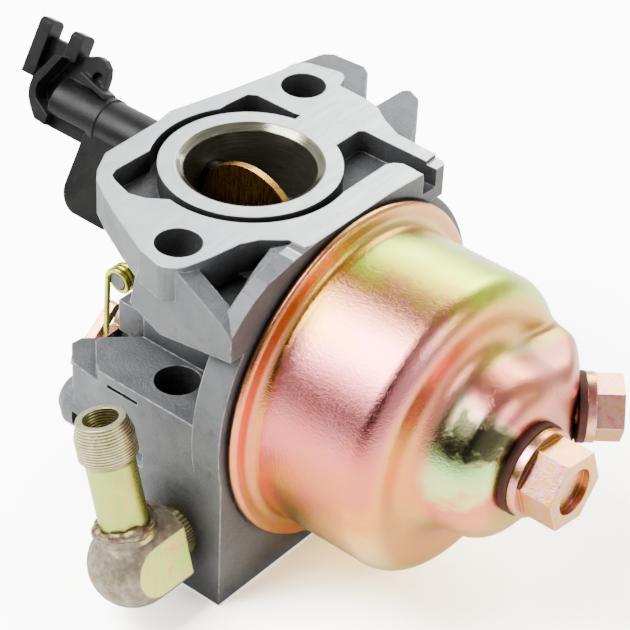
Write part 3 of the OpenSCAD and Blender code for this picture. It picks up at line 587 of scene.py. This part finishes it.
def make_bowl(material):
    """The drawn bowl as one smooth sheet: outer skin, folded rim and inner skin."""
    columns = 320
    outer = bowl_surface(-21.5, 190, columns, 0.0)
    inner = bowl_surface(-19.2, 90, columns, WALL)
    # Profile of the rim as (radius, Z): its flat top, the rolled edge and the fillet to the wall
    top = -18.51
    fold, fold_radius = (24.6, -19.25), 0.74
    fillet, fillet_radius = (23.55, -21.45), 1.43
    rim = [(BOWL_RADIUS - WALL, top), (23.9, top)]
    rim += list(arc_points(fold, fold_radius, 90, -90, 10))
    rim += [(24.2, -19.99), (23.6, -20.02)]
    rim += list(arc_points(fillet, fillet_radius, 92, 178, 8))
    rim_rows = [circle_row(radius, z, columns) for radius, z in rim]
    rows = list(inner[::-1]) + rim_rows + list(outer)
    vertices = np.concatenate(rows + [[[0, 0, BOWL_FLOOR + WALL]], [[0, 0, BOWL_FLOOR]]])
    faces = []
    for i in range(len(rows) - 1):
        for j in range(columns):
            k = (j + 1) % columns
            a, b = i * columns, (i + 1) * columns
            faces.append((a + j, b + j, b + k, a + k))
    inner_pole, outer_pole = len(vertices) - 2, len(vertices) - 1
    last = (len(rows) - 1) * columns
    for j in range(columns):
        k = (j + 1) % columns
        faces.append((inner_pole, j, k))
        faces.append((outer_pole, last + k, last + j))
    bowl = new_piece("bowl_skin", vertices, faces, material, "casing")
    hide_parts("bowl")
    return bowl


def tube(path, radius, sides=12):
    """Vertices and faces of a closed round wire along a path, in millimetres."""
    path = np.asarray(path, float)
    ahead = np.gradient(path, axis=0)
    ahead /= np.linalg.norm(ahead, axis=1)[:, None]
    side = np.cross(ahead[0], [0.3, 0.5, 0.8])
    vertices = []
    for point, along in zip(path, ahead):
        side = side - along * (side @ along)
        side /= np.linalg.norm(side)
        other = np.cross(along, side)
        for i in range(sides):
            a = 2 * math.pi * i / sides
            vertices.append(point + radius * (side * math.cos(a) + other * math.sin(a)))
    faces = []
    for i in range(len(path) - 1):
        for j in range(sides):
            k = (j + 1) % sides
            faces.append((i * sides + j, i * sides + k, (i + 1) * sides + k, (i + 1) * sides + j))
    faces.append(tuple(reversed(range(sides))))
    faces.append(tuple(range((len(path) - 1) * sides, len(path) * sides)))
    return vertices, faces


def compression_spring(name, node, origin, along, mean, wire, length, turns, material):
    """Helical spring in place of a CAD node. It starts at origin and runs along a unit vector."""
    along = np.array(along, float)
    first = np.cross(along, [0.2, 0.3, 0.9])
    first /= np.linalg.norm(first)
    second = np.cross(along, first)
    path = []
    steps_a_turn = 28
    steps = int(turns * steps_a_turn)
    for i in range(steps + 1):
        part = i / steps
        # The last turn at each end is closed
        rise = np.interp(part, [0, 0.12, 0.88, 1], [0, 0.05, 0.95, 1])
        a = 2 * math.pi * turns * part
        centre = np.array(origin) + along * (wire + rise * (length - 2 * wire))
        path.append(centre + mean * (first * math.cos(a) + second * math.sin(a)))
    vertices, faces = tube(path, wire)
    piece = new_piece(name, vertices, faces, material, "casing")
    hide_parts(node)


def throttle_spring(material):
    """Torsion spring on its peg, with one leg hooked to the lever and one to the casing."""
    x, y, z = -8.8, -1.5, 16.9
    mean, wire, pitch, turns = 1.74, 0.42, 0.86, 2.5
    long_leg, short_leg, steps_a_turn = 14, 9, 36
    path = []
    for i in range(long_leg):
        left = 1 - i / long_leg
        path.append((x, y + 10.6 * left, z + mean + 0.5 * left))
    for i in range(int(turns * steps_a_turn) + 1):
        a = math.radians(90 + 10 * i)
        along = pitch * i / steps_a_turn
        path.append((x + along, y + mean * math.cos(a), z + mean * math.sin(a)))
    for i in range(1, short_leg + 1):
        path.append((x + pitch * turns - 0.04 * i, y + 0.6 * i, z - mean - 0.06 * i))
    vertices, faces = tube(path, wire)
    piece = new_piece("throttle_spring_wire", vertices, faces, material, None)
    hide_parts("throttle_spring")
    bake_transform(piece)


def braze_bead(material):
    """Lumpy ring of solder where the elbow's tube enters its block."""
    along = np.array(TUBE_AXIS)
    side = np.array([1.0, 0, 0])
    other = np.cross(along, side)
    foot, tube_radius, thickness = 6.0, 3.7, 0.80
    rows, columns = 96, 18
    vertices, faces = [], []
    for i in range(rows):
        a = 2 * math.pi * i / rows
        out = side * math.cos(a) + other * math.sin(a)
        lump = 0.16 * math.sin(3 * a + 1) + 0.10 * math.sin(7 * a + 2) + 0.03 * math.sin(17 * a)
        rise = foot + 0.3 * math.sin(2 * a + 0.5) + 0.5 * lump
        middle = np.array(ELBOW) + along * rise + out * tube_radius
        for j in range(columns):
            b = 2 * math.pi * j / columns
            radius = thickness + lump + 0.05 * math.sin(5 * b + 11 * a)
            vertices.append(middle + radius * (out * math.cos(b) + along * math.sin(b)))
    for i in range(rows):
        for j in range(columns):
            k, m = (i + 1) % rows, (j + 1) % columns
            faces.append((i * columns + j, k * columns + j, k * columns + m, i * columns + m))
    new_piece("braze_bead", vertices, faces, material, "casing")


def build_pieces(looks):
    """The bowl's skin, the three wound springs and the elbow's braze."""
    make_bowl(looks["bowl_zinc"])
    spring = looks["spring_steel"]
    compression_spring(
        "idle_stop_coil", "idle_stop_spring", (8.6, -7, 21.4), (0, 1, 0),
        mean=2.48, wire=0.4, length=7.6, turns=6, material=spring,
    )
    compression_spring(
        "mixture_coil", "idle_mixture_spring", (33.4, 17, -2.6), (-1, 0, 0),
        mean=2.33, wire=0.35, length=3.4, turns=4, material=spring,
    )
    throttle_spring(spring)
    braze_tones = [(0.12, 0.08, 0.05), (0.24, 0.18, 0.11), (0.36, 0.29, 0.19), (0.55, 0.47, 0.34)]
    braze_bead(zinc_steel("braze", braze_tones, size_mm=1.1, rough=(0.36, 0.6)))


# ---------------------------------------------------------------- stage


def make_floor():
    """Pale table under the engine face. It shows only from above."""
    g = Graph("table")
    cloud = g.noise(60, 3, 0.5)
    path = g.add("ShaderNodeLightPath").outputs
    for_camera = g.ramp(cloud, [(0.3, (4.6, 4.6, 4.6)), (0.7, (4.8, 4.8, 4.8))])
    colour = g.mix(path["Is Glossy Ray"], (0.82, 0.82, 0.815), (1.25, 1.25, 1.24))
    colour = g.mix(path["Is Camera Ray"], colour, for_camera)
    fine = g.bump(g.noise(3, 2), 0.02)
    solid = g.add("ShaderNodeBsdfDiffuse", {"Color": colour, "Normal": fine}).outputs[0]
    clear = g.add("ShaderNodeBsdfTransparent").outputs[0]
    from_below = g.add("ShaderNodeNewGeometry").outputs["Backfacing"]
    touching = g.remap(path["Ray Length"], 3 * MM, 2 * MM)
    hidden = g.either(from_below, g.both(touching, g.math("SUBTRACT", 1.0, path["Is Camera Ray"])))
    shader = g.add("ShaderNodeMixShader", {0: hidden, 1: solid, 2: clear}).outputs[0]
    g.tree.links.new(shader, g.output.inputs["Surface"])

    half = 1.4
    y_floor = cad_high.y + 0.0002
    steps = 8
    vertices, faces = [], []
    for i in range(steps + 1):
        for j in range(steps + 1):
            vertices.append((half * (2 * i / steps - 1), y_floor, half * (2 * j / steps - 1)))
    for i in range(steps):
        for j in range(steps):
            a = i * (steps + 1) + j
            faces.append((a, a + steps + 1, a + steps + 2, a + 1))
    mesh = bpy.data.meshes.new("table_top")
    mesh.from_pydata(vertices, [], faces)
    mesh.update()
    if mesh.polygons[0].normal.y > 0:
        mesh.flip_normals()
    mesh.materials.append(g.material)
    floor = bpy.data.objects.new("table_top", mesh)
    bpy.context.scene.collection.objects.link(floor)


def make_world():
    """Even pale surround with a brighter side, a dim zenith and a soft box."""
    world = bpy.data.worlds.new("studio")
    world.use_nodes = True
    bpy.context.scene.world = world
    g = Graph("studio", world.node_tree)
    d = g.vector("NORMALIZE", g.direction)

    def lobe(axis, inner, outer):
        """1 within inner degrees of an axis, 0 beyond outer."""
        towards = g.vector("DOT_PRODUCT", d, tuple(Vector(axis).normalized()))
        return g.remap(towards, math.cos(math.radians(outer)), math.cos(math.radians(inner)))

    # Dim overhead, bright on the right, a soft box on the left and a dim wall beyond it
    level = g.blend(lobe(UP, 8, 56), 0.8, 0.30)
    level = g.blend(lobe((0.80, -0.42, 0.42), 14, 40), level, 1.5)
    level = g.blend(lobe((-0.54, -0.68, 0.50), 11, 20), level, 6.5)
    level = g.blend(lobe((-0.95, -0.08, 0.30), 12, 26), level, 0.22)
    # Dark room behind the camera, up to the soft box
    low = g.remap(g.split(d)[2], 0.40, 0.30)
    level = g.blend(g.both(lobe((-0.80, -0.58, 0.0), 30, 36), low), level, 0.03)
    wobble = g.remap(g.noise(400, 2, 0.5, d), 0.3, 0.7, 0.92, 1.08)
    # The camera itself sees an even pale backdrop
    seen = g.add("ShaderNodeLightPath").outputs["Is Camera Ray"]
    level = g.blend(seen, g.math("MULTIPLY", level, wobble), 0.9)
    background = g.add("ShaderNodeBackground", {"Color": (1.0, 1.0, 1.0), "Strength": level})
    g.tree.links.new(background.outputs[0], g.output.inputs["Surface"])


def area_light(name, away, distance, size, power, target=(0, 0, -0.008)):
    lamp = bpy.data.lights.new(name, "AREA")
    lamp.shape = "RECTANGLE"
    lamp.size, lamp.size_y = size
    lamp.energy = power
    light = bpy.data.objects.new(name, lamp)
    bpy.context.scene.collection.objects.link(light)
    away = Vector(away).normalized()
    light.location = Vector(target) + away * distance
    light.rotation_mode = "QUATERNION"
    light.rotation_quaternion = away.to_track_quat("Z", "Y")
    return light


def make_camera():
    """Camera over the intake, to the left of the bowl, as the part is usually shown."""
    camera = bpy.data.objects.new("camera", bpy.data.cameras.new("camera"))
    bpy.context.scene.collection.objects.link(camera)
    back = Vector((-0.62155, -0.60854, -0.49330)).normalized()
    up = Vector((0.44695, -0.79265, 0.41466))
    right = up.cross(back).normalized()
    up = back.cross(right)
    place = Vector((-0.22285, -0.22405, -0.18925))
    camera.matrix_world = Matrix(
        (
            (right.x, up.x, back.x, place.x),
            (right.y, up.y, back.y, place.y),
            (right.z, up.z, back.z, place.z),
            (0, 0, 0, 1),
        )
    )
    camera.data.sensor_width = 36
    camera.data.lens = 148.57
    camera.data.clip_start = 0.01
    camera.data.clip_end = 20
    bpy.context.scene.camera = camera


looks = dress_cad()
build_pieces(looks)
make_floor()
make_world()
area_light("key", (-0.35, -0.75, 0.30), 0.55, (0.30, 0.30), 5.0)
area_light("fill", (0.75, -0.50, 0.25), 0.65, (0.35, 0.35), 3.0)
area_light("glint", (0.21, -0.60, -0.78), 0.55, (0.10, 0.10), 0.6)
make_camera()
